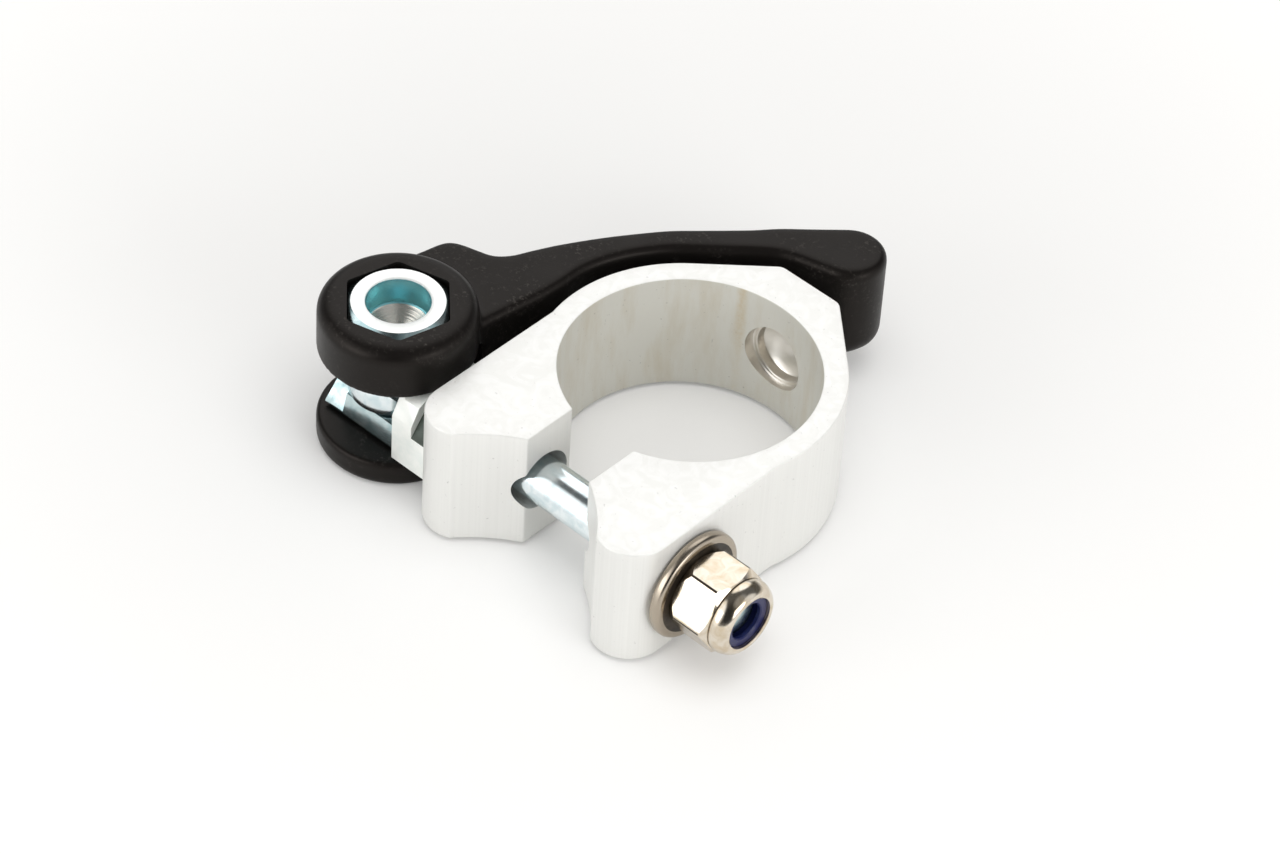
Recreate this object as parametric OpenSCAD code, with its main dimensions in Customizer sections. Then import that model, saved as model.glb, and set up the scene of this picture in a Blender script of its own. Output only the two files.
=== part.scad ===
/* [Collar] */
// Bore radius, fits a 31.8 mm seat tube
bore_r = 15.9; // [12:0.05:20]
// Wall of the ring
ring_wall = 3.05; // [2:0.05:6]
// Collar height along the seat tube
collar_h = 17.1; // [8:0.1:30]
// How far each ear's outer face lies inside the ring's widest point
ear_step = 0.55; // [0.1:0.05:2]
// Half width of the slit
slit_half = 4.9; // [0.5:0.1:6]
// Slit's front corners, forward of the bolt axis
slit_front = 3.05; // [2:0.05:8]
// Centre of the ear noses, forward of the bolt axis
nose_front = 4.7; // [3:0.05:9]
// Radius of the ear noses
nose_r = 4.65; // [2:0.05:7]
// Angle at which the front hollow leaves the nose
nose_end_a = 62; // [30:1:85]
// Radius of the front hollow
hollow_r = 24.2; // [12:0.1:60]
// Rise of the rear face beyond the ring
rear_rise = 2.65; // [0.5:0.05:6]
// Angle of the rear flanks' normals
flank_a = 47; // [20:1:80]
// Radius of the two rear corners
rear_corner_r = 1.5; // [0.2:0.1:4]
// Radius of the cross holes in the ears
ear_hole_r = 4; // [3:0.05:5]
// Radius of the rear recess at its mouth
recess_r = 4.5; // [2:0.1:6]
// Depth of the rear recess to its step
recess_step = 2.2; // [0.5:0.1:4]
// Radius of the recess below the step
recess_low_r = 3.6; // [1:0.1:5]
// Depth of the rear recess to its drill shoulder
recess_deep = 3; // [1:0.1:5]
// Height of the drill point
recess_tip = 1.3; // [0.2:0.1:3]

/* [Clamp bolt] */
// Bolt axis, forward of the bore's front
bolt_front = 3.8; // [2:0.1:8]
// Shank radius
shank_r = 2.92; // [2:0.01:4]
// Gap between the threaded end and the insert's undeformed part
shank_gap = 0.15; // [0.05:0.05:1]
// Chamfer on the threaded end
shank_chamfer = 0.5; // [0.1:0.1:1.5]
// Radius of the bolt's eye
eye_r = 5.4; // [4:0.1:8]
// Height of the eye
eye_h = 4.1; // [2:0.1:8]
// Chamfer round the eye
eye_chamfer = 0.4; // [0.1:0.1:1]

/* [Washer] */
// Washer outer radius
washer_r = 7; // [5:0.1:10]
// Washer hole radius
washer_bore_r = 3.3; // [3:0.05:5]
// Washer thickness
washer_t = 1.4; // [0.5:0.1:3]
// Clearance between the washer and the ear that it bears on
washer_gap = 0.25; // [0.05:0.05:0.5]
// Washer edge chamfer
washer_chamfer = 0.25; // [0.05:0.05:0.6]

/* [Nut] */
// Nut width across flats
nut_af = 10; // [8:0.1:14]
// Nut overall height
nut_h = 8.2; // [6:0.1:12]
// Bore radius of the nut
nut_bore_r = 2.97; // [2:0.01:4]
// Height of the chamfer at the base
nut_base_chamfer = 1.35; // [0.2:0.05:2]
// Height of the hexagon
nut_hex_h = 5.3; // [3:0.1:6]
// Height over which the hexagon's corners are turned off at the top
nut_top_chamfer = 0.8; // [0.2:0.05:2]
// Radius of the crimped collar
nut_crimp_r = 4.9; // [3:0.1:6]
// Depth over which the crimp closes
nut_crimp_h = 1.6; // [0.5:0.1:3]
// Radius of the crimp half way up its dome
nut_dome_r = 4.6; // [3:0.05:6]
// Radius of the crimped lip
nut_lip_r = 3.95; // [3:0.05:6]
// Radius of the crimp's opening
nut_mouth_r = 3.4; // [3:0.05:5]
// Thickness of the lip over the insert
nut_lip_t = 0.5; // [0.2:0.05:1.5]
// Radius of the insert
insert_r = 4.25; // [3:0.05:5]
// Height of the insert
insert_h = 2.1; // [1:0.1:4]
// Undeformed inner radius of the insert
insert_lip_r = 2.4; // [1.5:0.05:3]
// Thickness of the insert's undeformed part
insert_lip_t = 0.8; // [0.2:0.1:1.5]

/* [Yoke] */
// Lever axis, outboard of the ear
lever_out = 11.1; // [8:0.1:16]
// Length of the yoke's block along the bolt
block_l = 5.35; // [3:0.05:9]
// Half width of the block
block_half_y = 6.5; // [4:0.1:10]
// Half height of the block
block_half_z = 5.3; // [4:0.1:8]
// Height at which the block's steep upper facet starts, above the bolt axis
block_chamfer_z = 1.8; // [0.2:0.1:2.5]
// Depth of the block's steep upper facet
block_chamfer_y = 1.3; // [0.5:0.1:2.5]
// Height of the edge between the steep and the flat facet, above the bolt axis
block_edge_z = 4.2; // [3:0.1:5]
// Depth of the flat facet
block_flat_y = 2.2; // [0.5:0.1:3]
// Width of the relieved end at the ear
relief_w = 2.15; // [0.5:0.05:4]
// Height at which the relief starts, above the bolt axis
relief_z = 0.2; // [0:0.1:4]
// Depth of the relief
relief_y = 3; // [0.5:0.1:5]
// Bottom edge chamfer
block_low_chamfer = 0.2; // [0.1:0.1:2]
// Half width of the prongs
prong_half_y = 5.4; // [4:0.1:8]
// Half height over both prongs
prong_half_z = 5.2; // [3:0.1:8]
// Prong ends, outboard of the lever axis
prong_out = 6.8; // [5:0.1:10]
// Clearance above and below the eye
eye_gap = 0.1; // [0.02:0.01:0.3]
// Depth of the slot into the block
slot_deep = 1; // [0:0.1:3]
// Width of the chamfer at the prong ends
prong_chamfer_y = 1.9; // [0.2:0.1:3]
// Height of the chamfer at the prong ends
prong_chamfer_z = 1.2; // [0.2:0.1:2.5]
// Length of the chamfer at the prong ends
prong_chamfer_x = 3; // [1:0.1:6]
// Radius of the shank hole in the yoke
yoke_bore_r = 3; // [2:0.01:4]

/* [Cam barrel] */
// Barrel hexagon, width across flats
hex_af = 12; // [9:0.1:16]
// Turn of the hexagon
hex_turn = 15.5; // [0:0.5:60]
// Height of the hexagon
hex_h = 5.65; // [4:0.05:9]
// Edge chamfer of the hexagon
hex_chamfer = 0.55; // [0.1:0.05:2]
// Radius of the blind hole
hole_r = 4.2; // [2:0.1:5.5]
// Depth of the blind hole's wall in shares of the hexagon's height
hole_depth_share = 0.7; // [0.2:0.01:0.75]
// Height of the cone at the hole's floor in the same shares
hole_tip_share = 0.21; // [0.05:0.01:0.22]
// Radius of the eccentric
cam_r = 3.15; // [2:0.05:4]
// Throw of the eccentric
cam_throw = 0.75; // [0.2:0.05:1.5]
// Step between the journals and the eccentric's reach
journal_step = 0.1; // [0.05:0.01:0.3]
// Lower end of the barrel, above the lower disc's face
barrel_rise = 0.6; // [0.1:0.1:2]
// Clearance between turning parts
play = 0.05; // [0.01:0.01:0.1]

/* [Lever] */
// Radius of the lever's hub discs
hub_r = 9.75; // [8:0.05:14]
// Gap between the discs and the yoke
fork_gap = 0.25; // [0.1:0.05:1]
// Thickness of the lower disc
hub_lo_t = 3.6; // [1.5:0.1:6]
// Edge rounding of the upper disc
hub_round = 1.5; // [0.2:0.1:2.5]
// Edge rounding of the lower disc
hub_lo_round = 1.1; // [0.2:0.1:1.4]
// Floor left under the hexagonal pocket
pocket_floor = 1.2; // [0.6:0.1:3]
// Web clearance round the lever axis
fork_r = 10.2; // [9:0.1:14]
// Top of the arm, below the upper disc's top
arm_drop = 3.65; // [1:0.05:6]
// Edge rounding along the arm
arm_round = 1.1; // [0.2:0.1:1.6]
// Height of the paddle
pad_h = 13.9; // [8:0.1:16]
// Radius of the paddle's end
pad_r = 4.55; // [3:0.05:8]
// Gap between the paddle and the ring
pad_gap = 6.1; // [4:0.1:10]
// Rounding of the paddle's lower edge
pad_round = 2.4; // [0.4:0.1:2.8]

/* [Hidden] */
fine = 96;
mid = 32;
alu = [0.83, 0.84, 0.83];
zinc = [0.72, 0.79, 0.82];
nickel = [0.74, 0.71, 0.66];
navy = [0.08, 0.1, 0.45];
black = [0.06, 0.06, 0.065];
ring_r = bore_r + ring_wall;
over = ring_wall / 3;
big = 4 * ring_r;
ear_x = ring_r - ear_step;
rear_y = ring_r + rear_rise;
bolt_y = -bore_r - bolt_front;
bolt_z = collar_h / 2;
kink_y = -sqrt(ring_r * ring_r - ear_x * ear_x);
slit_front_y = bolt_y - slit_front;
nose_x = ear_x - nose_r;
nose_y = bolt_y - nose_front;
in_nose = nose_r - play;
flank_px = ring_r * cos(flank_a);
flank_py = ring_r * sin(flank_a);
rc_y = rear_y - rear_corner_r;
rc_x = ((ring_r - rear_corner_r) - rc_y * sin(flank_a)) / cos(flank_a);
rc_px = rc_x + rear_corner_r * cos(flank_a);
rc_py = rc_y + rear_corner_r * sin(flank_a);
chord_x = nose_x - nose_r * cos(nose_end_a);
chord_y = nose_y - nose_r * sin(nose_end_a);
chord_l = sqrt(pow(chord_x - slit_half, 2) + pow(chord_y - slit_front_y, 2));
hollow_off = sqrt(hollow_r * hollow_r - chord_l * chord_l / 4);
hollow_x = (chord_x + slit_half) / 2 + hollow_off * (chord_y - slit_front_y) / chord_l;
hollow_y = (chord_y + slit_front_y) / 2 - hollow_off * (chord_x - slit_half) / chord_l;
washer_x = ear_x + washer_gap;
nut_x = washer_x + washer_t + play / 2;
nut_corner_r = nut_af / sqrt(3);
insert_z0 = nut_h - nut_lip_t - insert_h;
shank_end_x = nut_x + insert_z0 + insert_h - insert_lip_t - shank_gap;
yoke_x = -ear_x - play;
block_x0 = yoke_x - block_l;
slot_x = block_x0 + slot_deep;
slot_h = eye_h + 2 * eye_gap;
mid_z0 = bolt_z - slot_h / 2;
mid_z1 = bolt_z + slot_h / 2;
lever_x = -ear_x - lever_out;
prong_x = lever_x - prong_out;
journal_hi_r = cam_r + cam_throw + journal_step;
journal_lo_r = cam_r - cam_throw - journal_step;
eye_x = lever_x - cam_throw;
eye_bore_r = cam_r + cam_throw + 2 * play;
hub_hi_z = bolt_z + block_half_z + fork_gap;
hub_lo_z = bolt_z - block_half_z - fork_gap;
hub_z0 = hub_lo_z - hub_lo_t;
pocket_z = hub_hi_z + pocket_floor;
hex_z0 = pocket_z + play;
hex_top = hex_z0 + hex_h;
hex_corner_r = hex_af / sqrt(3);
arm_top = hex_top - arm_drop;
pad_z0 = arm_top - pad_h;
// Stations of the arm: angle round the bore, gap to the ring, radius, rise of the bottom above the hub
arm_a = [190, 177, 169.4, 146.9, 126.5, 107.7, 91.2];
arm_gap = [2.5, 2, 2.15, 2.2, 2.45, 4.85, pad_gap];
arm_r = [3.2, 3.7, 3, 2.1, 2.1, 2.5, pad_r];
arm_rise_shares = [0.2, 0.32, 0.45, 0.66, 0.79, 0.91, 1];
// Corners of the arm's root from the lever axis: across, rearward, radius
root_x = [-5.4, -7.3, 5.2];
root_y = [14.4, 2.4, 6.5];
root_r = [1.7, 2.2, 2.1];

// One ear before its front is hollowed, on the side of positive X
module ear() {
  linear_extrude(height = collar_h)
    polygon([[slit_half - over, -ring_wall], [ear_x - over, -ring_wall], [ear_x, kink_y],
      [ear_x, nose_y], [nose_x, nose_y],
      [nose_x - in_nose * cos(nose_end_a), nose_y - in_nose * sin(nose_end_a)],
      [chord_x - nose_r, chord_y], [slit_half - over, chord_y]]);
  translate([nose_x, nose_y, 0])
    cylinder(r = nose_r, h = collar_h, $fn = fine);
}

// Hollow in the front of one ear
module hollow() {
  intersection() {
    translate([hollow_x, hollow_y, -over])
      cylinder(r = hollow_r, h = collar_h + 2 * over, $fn = 2 * fine);
    translate([0, -big, -over])
      cube([nose_x, big, collar_h + 2 * over]);
  }
}

module rear() {
  linear_extrude(height = collar_h)
    polygon([[0, ear_x], [flank_px, flank_py], [rc_px, rc_py], [rc_x, rear_y], [-rc_x, rear_y],
      [-rc_px, rc_py], [-flank_px, flank_py]]);
  translate([rc_x, rc_y, 0])
    cylinder(r = rear_corner_r, h = collar_h, $fn = fine);
  translate([-rc_x, rc_y, 0])
    cylinder(r = rear_corner_r, h = collar_h, $fn = fine);
}

module collar() {
  color(alu)
  difference() {
    union() {
      cylinder(r = ring_r, h = collar_h, $fn = fine);
      ear();
      mirror([1, 0, 0])
        ear();
      rear();
    }
    hollow();
    mirror([1, 0, 0])
      hollow();
    translate([0, 0, -over])
      cylinder(r = bore_r, h = collar_h + 2 * over, $fn = fine);
    translate([-slit_half, -big, -over])
      cube([2 * slit_half, big, collar_h + 2 * over]);
    translate([-ear_x - over, bolt_y, bolt_z])
      rotate([0, 90, 0])
        cylinder(r = ear_hole_r, h = 2 * ear_x + 2 * over, $fn = fine);
    translate([0, 0, bolt_z])
      rotate([-90, 0, 0]) {
        cylinder(r = recess_r, h = bore_r + recess_step, $fn = fine);
        cylinder(r = recess_low_r, h = bore_r + recess_deep, $fn = fine);
        translate([0, 0, bore_r + recess_deep])
          cylinder(r1 = recess_low_r, r2 = 0, h = recess_tip, $fn = fine);
      }
  }
}

module washer() {
  color(nickel)
  translate([washer_x, bolt_y, bolt_z])
    rotate([0, 90, 0])
      rotate_extrude($fn = fine)
        polygon([[washer_bore_r, 0], [washer_r - washer_chamfer, 0], [washer_r, washer_chamfer],
          [washer_r, washer_t - washer_chamfer], [washer_r - washer_chamfer, washer_t],
          [washer_bore_r, washer_t]]);
}

module nut() {
  color(nickel)
  translate([nut_x, bolt_y, bolt_z])
    rotate([0, 90, 0])
      difference() {
        union() {
          intersection() {
            rotate([0, 0, 90])
              cylinder(r = nut_corner_r, h = nut_h, $fn = 6);
            rotate_extrude($fn = fine)
              polygon([[0, 0], [nut_af / 2 - play, 0], [nut_corner_r + play, nut_base_chamfer],
                [nut_corner_r + play, nut_hex_h - nut_top_chamfer], [nut_crimp_r, nut_hex_h],
                [0, nut_hex_h]]);
          }
          rotate_extrude($fn = fine)
            polygon([[0, nut_hex_h / 2], [nut_crimp_r, nut_hex_h / 2],
              [nut_crimp_r, nut_h - nut_crimp_h], [nut_dome_r, nut_h - nut_crimp_h / 2],
              [nut_lip_r, nut_h], [0, nut_h]]);
        }
        translate([0, 0, -over])
          cylinder(r = nut_bore_r, h = nut_h + 2 * over, $fn = fine);
        translate([0, 0, insert_z0])
          cylinder(r = insert_r, h = insert_h, $fn = fine);
        translate([0, 0, insert_z0 + insert_h / 2])
          cylinder(r = nut_mouth_r, h = nut_h, $fn = fine);
      }
}

module nut_insert() {
  color(navy)
  translate([nut_x + insert_z0, bolt_y, bolt_z])
    rotate([0, 90, 0])
      difference() {
        cylinder(r = insert_r, h = insert_h, $fn = fine);
        translate([0, 0, -over])
          cylinder(r = nut_bore_r, h = insert_h - insert_lip_t + over, $fn = fine);
        cylinder(r = insert_lip_r, h = insert_h + over, $fn = fine);
      }
}

module eye_bolt() {
  color(zinc)
  difference() {
    union() {
      translate([eye_x, bolt_y, bolt_z - eye_h / 2])
        rotate_extrude($fn = fine)
          polygon([[0, 0], [eye_r - eye_chamfer, 0], [eye_r, eye_chamfer],
            [eye_r, eye_h - eye_chamfer], [eye_r - eye_chamfer, eye_h], [0, eye_h]]);
      translate([eye_x, bolt_y, bolt_z])
        rotate([0, 90, 0])
          cylinder(r = eye_h / 2 - play, h = slot_x - eye_x + slot_deep, $fn = fine);
      translate([slot_x, bolt_y, bolt_z])
        rotate([0, 90, 0])
          rotate_extrude($fn = fine)
            polygon([[0, 0], [shank_r, 0], [shank_r, shank_end_x - slot_x - shank_chamfer],
              [shank_r - shank_chamfer, shank_end_x - slot_x], [0, shank_end_x - slot_x]]);
    }
    translate([eye_x, bolt_y, 0])
      cylinder(r = eye_bore_r, h = collar_h, $fn = fine);
  }
}

// Stands a section in the plane across the bolt and draws it along the bolt
module along_bolt(x0, x1) {
  translate([x0, bolt_y, bolt_z])
    rotate([90, 0, 90])
      linear_extrude(height = x1 - x0)
        children();
}

// Section of the yoke's block, seen along the bolt: its steep facets start at rise_z
// and end rise_y inwards at edge_z
module block_section(rise_z, rise_y, edge_z, flat_y) {
  polygon([[-block_half_y + block_low_chamfer, -block_half_z],
    [block_half_y - block_low_chamfer, -block_half_z],
    [block_half_y, block_low_chamfer - block_half_z], [block_half_y, rise_z],
    [block_half_y - rise_y, edge_z], [block_half_y - rise_y - flat_y, block_half_z],
    [rise_y + flat_y - block_half_y, block_half_z], [rise_y - block_half_y, edge_z],
    [-block_half_y, rise_z], [-block_half_y, block_low_chamfer - block_half_z]]);
}

// Section of one prong, chamfered towards the slot by the given amounts
module prong_section(cut_y, cut_z) {
  polygon([[-prong_half_y, -prong_half_z], [prong_half_y, -prong_half_z],
    [prong_half_y, -slot_h / 2 - cut_z], [prong_half_y - cut_y, -slot_h / 2],
    [cut_y - prong_half_y, -slot_h / 2], [-prong_half_y, -slot_h / 2 - cut_z]]);
}

module prong() {
  along_bolt(prong_x + prong_chamfer_x, slot_x)
    prong_section(0, 0);
  along_bolt(prong_x, prong_x + prong_chamfer_x)
    prong_section(prong_chamfer_y, prong_chamfer_z);
}

module cam_yoke() {
  color(zinc)
  difference() {
    union() {
      along_bolt(block_x0, yoke_x - relief_w)
        block_section(block_chamfer_z, block_chamfer_y, block_edge_z, block_flat_y);
      along_bolt(yoke_x - relief_w, yoke_x)
        block_section(relief_z, relief_y, block_edge_z, block_flat_y);
      prong();
      translate([0, 0, 2 * bolt_z])
        mirror([0, 0, 1])
          prong();
    }
    translate([prong_x - over, bolt_y - block_half_y - over, mid_z0])
      cube([slot_x - prong_x + over, 2 * block_half_y + 2 * over, slot_h]);
    translate([slot_x - over, bolt_y, bolt_z])
      rotate([0, 90, 0])
        cylinder(r = yoke_bore_r, h = yoke_x - slot_x + 2 * over, $fn = fine);
    translate([lever_x, bolt_y, bolt_z])
      cylinder(r = journal_hi_r + play, h = big, $fn = fine);
    translate([lever_x, bolt_y, bolt_z - big])
      cylinder(r = journal_lo_r + play, h = big, $fn = fine);
  }
}

module cam_barrel() {
  color(zinc)
  difference() {
    union() {
      translate([lever_x, bolt_y, hex_z0])
        intersection() {
          rotate([0, 0, hex_turn])
            cylinder(r = hex_corner_r, h = hex_h, $fn = 6);
          rotate_extrude($fn = fine)
            polygon([[0, 0], [hex_corner_r + play, 0], [hex_corner_r + play, hex_h - hex_chamfer],
              [hex_af / 2 - play, hex_h], [0, hex_h]]);
        }
      translate([lever_x, bolt_y, mid_z1])
        cylinder(r = journal_hi_r, h = hex_z0 - mid_z1 + play, $fn = fine);
      translate([lever_x - cam_throw, bolt_y, mid_z0])
        cylinder(r = cam_r, h = slot_h + play, $fn = fine);
      translate([lever_x, bolt_y, hub_z0 + barrel_rise])
        cylinder(r = journal_lo_r, h = mid_z0 - hub_z0 - barrel_rise + play, $fn = fine);
    }
    translate([lever_x, bolt_y, hex_top - hex_h * hole_depth_share])
      cylinder(r = hole_r, h = hex_h, $fn = fine);
    translate([lever_x, bolt_y, hex_top - hex_h * (hole_depth_share + hole_tip_share)])
      cylinder(r1 = 0, r2 = hole_r, h = hex_h * hole_tip_share, $fn = fine);
  }
}

// Upright post with rounded ends: across, rearward, radius, bottom, rounding of its lower edge
module post(px, py, pr, pz, low) {
  q = 1 - sqrt(1 / 2);
  translate([px, py, 0])
    rotate_extrude($fn = mid)
      polygon([[0, pz], [pr - low, pz], [pr - low * q, pz + low * q], [pr, pz + low],
        [pr, arm_top - arm_round], [pr - arm_round * q, arm_top - arm_round * q],
        [pr - arm_round, arm_top], [0, arm_top]]);
}

module station(i) {
  d = ring_r + arm_gap[i] + arm_r[i];
  low = (i == len(arm_a) - 1) ? pad_round : arm_round;
  post(d * cos(arm_a[i]), d * sin(arm_a[i]), arm_r[i],
    hub_z0 + (pad_z0 - hub_z0) * arm_rise_shares[i], low);
}

// Disc of the hub, rounded round its upper edge
module hub_disc(h, edge) {
  rotate_extrude($fn = fine)
    union() {
      square([hub_r - edge, h]);
      square([hub_r, h - edge]);
      translate([hub_r - edge, h - edge])
        intersection() {
          circle(r = edge, $fn = mid);
          square([edge, edge]);
        }
    }
}

module lever() {
  color(black)
  difference() {
    union() {
      translate([lever_x, bolt_y, hub_hi_z])
        hub_disc(hex_top - hub_hi_z, hub_round);
      translate([lever_x, bolt_y, hub_lo_z])
        mirror([0, 0, 1])
          hub_disc(hub_lo_t, hub_lo_round);
      difference() {
        union() {
          hull() {
            for (i = [0 : len(root_x) - 1])
              post(lever_x + root_x[i], bolt_y + root_y[i], root_r[i],
                hub_z0 + (pad_z0 - hub_z0) * arm_rise_shares[0], arm_round);
            station(0);
          }
          for (i = [0 : len(arm_a) - 2])
            hull() {
              station(i);
              station(i + 1);
            }
        }
        translate([lever_x, bolt_y, hub_lo_z])
          cylinder(r = fork_r, h = hub_hi_z - hub_lo_z, $fn = fine);
      }
    }
    translate([lever_x, bolt_y, pocket_z])
      rotate([0, 0, hex_turn])
        cylinder(r = hex_corner_r + 2 * play, h = big, $fn = 6);
    translate([lever_x, bolt_y, bolt_z])
      cylinder(r = journal_hi_r + play / 2, h = big, $fn = fine);
    translate([lever_x, bolt_y, bolt_z - big])
      cylinder(r = journal_lo_r + play / 2, h = big, $fn = fine);
  }
}

collar();
washer();
nut();
nut_insert();
eye_bolt();
cam_yoke();
cam_barrel();
lever();
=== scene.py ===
"""Looks of the quick-release seatpost clamp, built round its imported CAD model.

Sizes are in millimetres in the part's own frame: the bore's axis is Z, the slit
faces -Y, the bolt runs along X from the lever to the nut.
"""
import math

import bmesh
import bpy
from mathutils import Matrix, Vector


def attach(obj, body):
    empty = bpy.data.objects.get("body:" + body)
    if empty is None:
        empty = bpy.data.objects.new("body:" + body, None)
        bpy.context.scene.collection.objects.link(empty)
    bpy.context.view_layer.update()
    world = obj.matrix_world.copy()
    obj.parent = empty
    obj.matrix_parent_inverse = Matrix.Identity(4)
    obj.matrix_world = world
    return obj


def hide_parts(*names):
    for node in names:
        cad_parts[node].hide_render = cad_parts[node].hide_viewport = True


MM = 0.001

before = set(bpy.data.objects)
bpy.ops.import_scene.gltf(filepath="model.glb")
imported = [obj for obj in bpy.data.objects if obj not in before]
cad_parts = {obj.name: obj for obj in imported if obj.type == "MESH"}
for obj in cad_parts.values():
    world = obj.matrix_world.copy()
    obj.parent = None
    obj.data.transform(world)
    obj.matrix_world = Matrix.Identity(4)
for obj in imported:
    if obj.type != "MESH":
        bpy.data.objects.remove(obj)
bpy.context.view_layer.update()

# ---------------------------------------------------------------- sizes
BORE_R, RING_R, COLLAR_H = 15.9, 18.95, 17.1
EAR_X, SLIT_X, SLIT_FRONT_Y = 18.4, 4.9, -22.75
NOSE_R, NOSE_Y, HOLLOW_R = 4.65, -24.4, 24.2
REAR_Y, REAR_CORNER_R, FLANK_A = 21.6, 1.5, 47.0
BOLT_Y, BOLT_Z, SHANK_R = -19.7, 8.55, 2.92
LEVER_X = -29.5
OIL_RUN = (-5.2, 15.03, 0.0)


def arc(cx, cy, r, a0, a1, step=2.0):
    """Points of a circular arc, in degrees, with both ends."""
    n = max(2, int(abs(a1 - a0) / step) + 1)
    return [(cx + r * math.cos(math.radians(a0 + (a1 - a0) * i / n)),
             cy + r * math.sin(math.radians(a0 + (a1 - a0) * i / n))) for i in range(n + 1)]


def line(p, q, step=1.0):
    """Points between two corners, without the ends."""
    n = max(1, int(math.dist(p, q) / step))
    return [(p[0] + (q[0] - p[0]) * i / n, p[1] + (q[1] - p[1]) * i / n) for i in range(1, n)]


def smooth_path(points, closed=False, per=8):
    """Catmull-Rom curve through the given points."""
    out = []
    n = len(points)
    for i in range(n if closed else n - 1):
        p1, p2 = points[i], points[(i + 1) % n]
        p0 = points[i - 1] if closed or i > 0 else (2 * p1[0] - p2[0], 2 * p1[1] - p2[1])
        p3 = points[(i + 2) % n] if closed or i + 2 < n else (2 * p2[0] - p1[0], 2 * p2[1] - p1[1])
        for k in range(per):
            t = k / per
            out.append(tuple(
                0.5 * (2 * b + (c - a) * t + (2 * a - 5 * b + 4 * c - d) * t * t + (3 * b - a - 3 * c + d) * t ** 3)
                for a, b, c, d in zip(p0, p1, p2, p3)))
    if not closed:
        out.append(points[-1])
    return out


def rounded(points, radius, sharp=25.0, steps=4):
    """Replaces each corner sharper than the given angle by a small arc."""
    out = []
    n = len(points)
    for i in range(n):
        p, q, r = (Vector(points[j % n]) for j in (i - 1, i, i + 1))
        a, b = (q - p), (r - q)
        turn = a.angle_signed(b) if a.length > 1e-9 and b.length > 1e-9 else 0
        if abs(math.degrees(turn)) < sharp:
            out.append(tuple(q))
            continue
        cut = min(radius * math.tan(abs(turn) / 2), 0.45 * a.length, 0.45 * b.length)
        s, e = q - a.normalized() * cut, q + b.normalized() * cut
        for k in range(steps + 1):
            t = k / steps
            out.append(tuple((1 - t) ** 2 * s + 2 * t * (1 - t) * q + t * t * e))
    return out


def inset(points, d):
    """The outline moved inwards by d; points run anticlockwise."""
    out = []
    n = len(points)
    for i in range(n):
        p, q, r = (Vector(points[j % n]) for j in (i - 1, i, i + 1))
        n1 = Vector((-(q - p).y, (q - p).x)).normalized()
        n2 = Vector((-(r - q).y, (r - q).x)).normalized()
        m = n1 + n2
        m = n1 if m.length < 1e-6 else m.normalized()
        out.append(tuple(q + m * (d / max(0.4, m.dot(n1)))))
    return out


def place(name, verts, faces, matrix=None):
    """A new mesh object from points in millimetres."""
    mesh = bpy.data.meshes.new(name)
    mesh.from_pydata([Vector(v) * MM for v in verts], [], faces)
    if matrix is not None:
        mesh.transform(matrix)
    mesh.validate()
    bm = bmesh.new()
    bm.from_mesh(mesh)
    bmesh.ops.remove_doubles(bm, verts=bm.verts, dist=1e-7)
    bmesh.ops.recalc_face_normals(bm, faces=bm.faces)
    bm.to_mesh(mesh)
    bm.free()
    obj = bpy.data.objects.new(name, mesh)
    bpy.context.collection.objects.link(obj)
    return obj


def slab(name, outline, z0, z1, r0, r1, steps=4, rows=1):
    """A plate with rounded upper and lower edges; z0 and r0 may be functions of the plan point."""
    low = z0 if callable(z0) else (lambda x, y: z0)
    low_r = r0 if callable(r0) else (lambda x, y: r0)
    n = len(outline)
    rings = []
    full0 = [inset(outline, 1.0), outline]

    def moved(i, d):
        (ax, ay), (bx, by) = full0[1][i], full0[0][i]
        return bx * d + ax * (1 - d), by * d + ay * (1 - d)

    for k in range(steps + 1):
        a = math.pi / 2 * k / steps
        rings.append([(*moved(i, low_r(*outline[i]) * (1 - math.sin(a))),
                       low(*outline[i]) + low_r(*outline[i]) * (1 - math.cos(a))) for i in range(n)])
    for k in range(1, rows):
        rings.append([(*p, rings[-k][i][2] + (z1 - r1 - rings[-k][i][2]) * k / rows) for i, p in enumerate(outline)])
    for k in range(steps + 1):
        a = math.pi / 2 * k / steps
        rings.append([(*moved(i, r1 * (1 - math.cos(a))), z1 - r1 * (1 - math.sin(a))) for i in range(n)])
    verts = [v for ring in rings for v in ring]
    faces = [list(range(n))[::-1], [len(verts) - n + i for i in range(n)]]
    for k in range(len(rings) - 1):
        for i in range(n):
            j = (i + 1) % n
            faces.append([k * n + i, k * n + j, (k + 1) * n + j, (k + 1) * n + i])
    return place(name, verts, faces)


def turned(name, profile, matrix=None, n=128, closed=False):
    """A body of revolution about Z from (radius, height) points."""
    verts, faces = [], []
    m = len(profile)
    for r, z in profile:
        for i in range(n):
            a = 2 * math.pi * i / n
            verts.append((r * math.cos(a), r * math.sin(a), z))
    for k in range(m if closed else m - 1):
        for i in range(n):
            j = (i + 1) % n
            q = (k + 1) % m
            faces.append([k * n + i, k * n + j, q * n + j, q * n + i])
    return place(name, verts, faces, matrix)


def hexagonal(name, levels, matrix=None, turn=0.0, n=192, closed=False):
    """A hexagonal bar whose ends are turned: levels are functions (corner radius at angle) -> (radius, height)."""
    verts, faces = [], []
    for level in levels:
        for i in range(n):
            a = 2 * math.pi * i / n
            v = level(a)
            verts.append((v[0] * math.cos(a + turn), v[0] * math.sin(a + turn), v[1]))
    m = len(levels)
    for k in range(m if closed else m - 1):
        for i in range(n):
            j = (i + 1) % n
            q = (k + 1) % m
            faces.append([k * n + i, k * n + j, q * n + j, q * n + i])
    return place(name, verts, faces, matrix)


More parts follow.
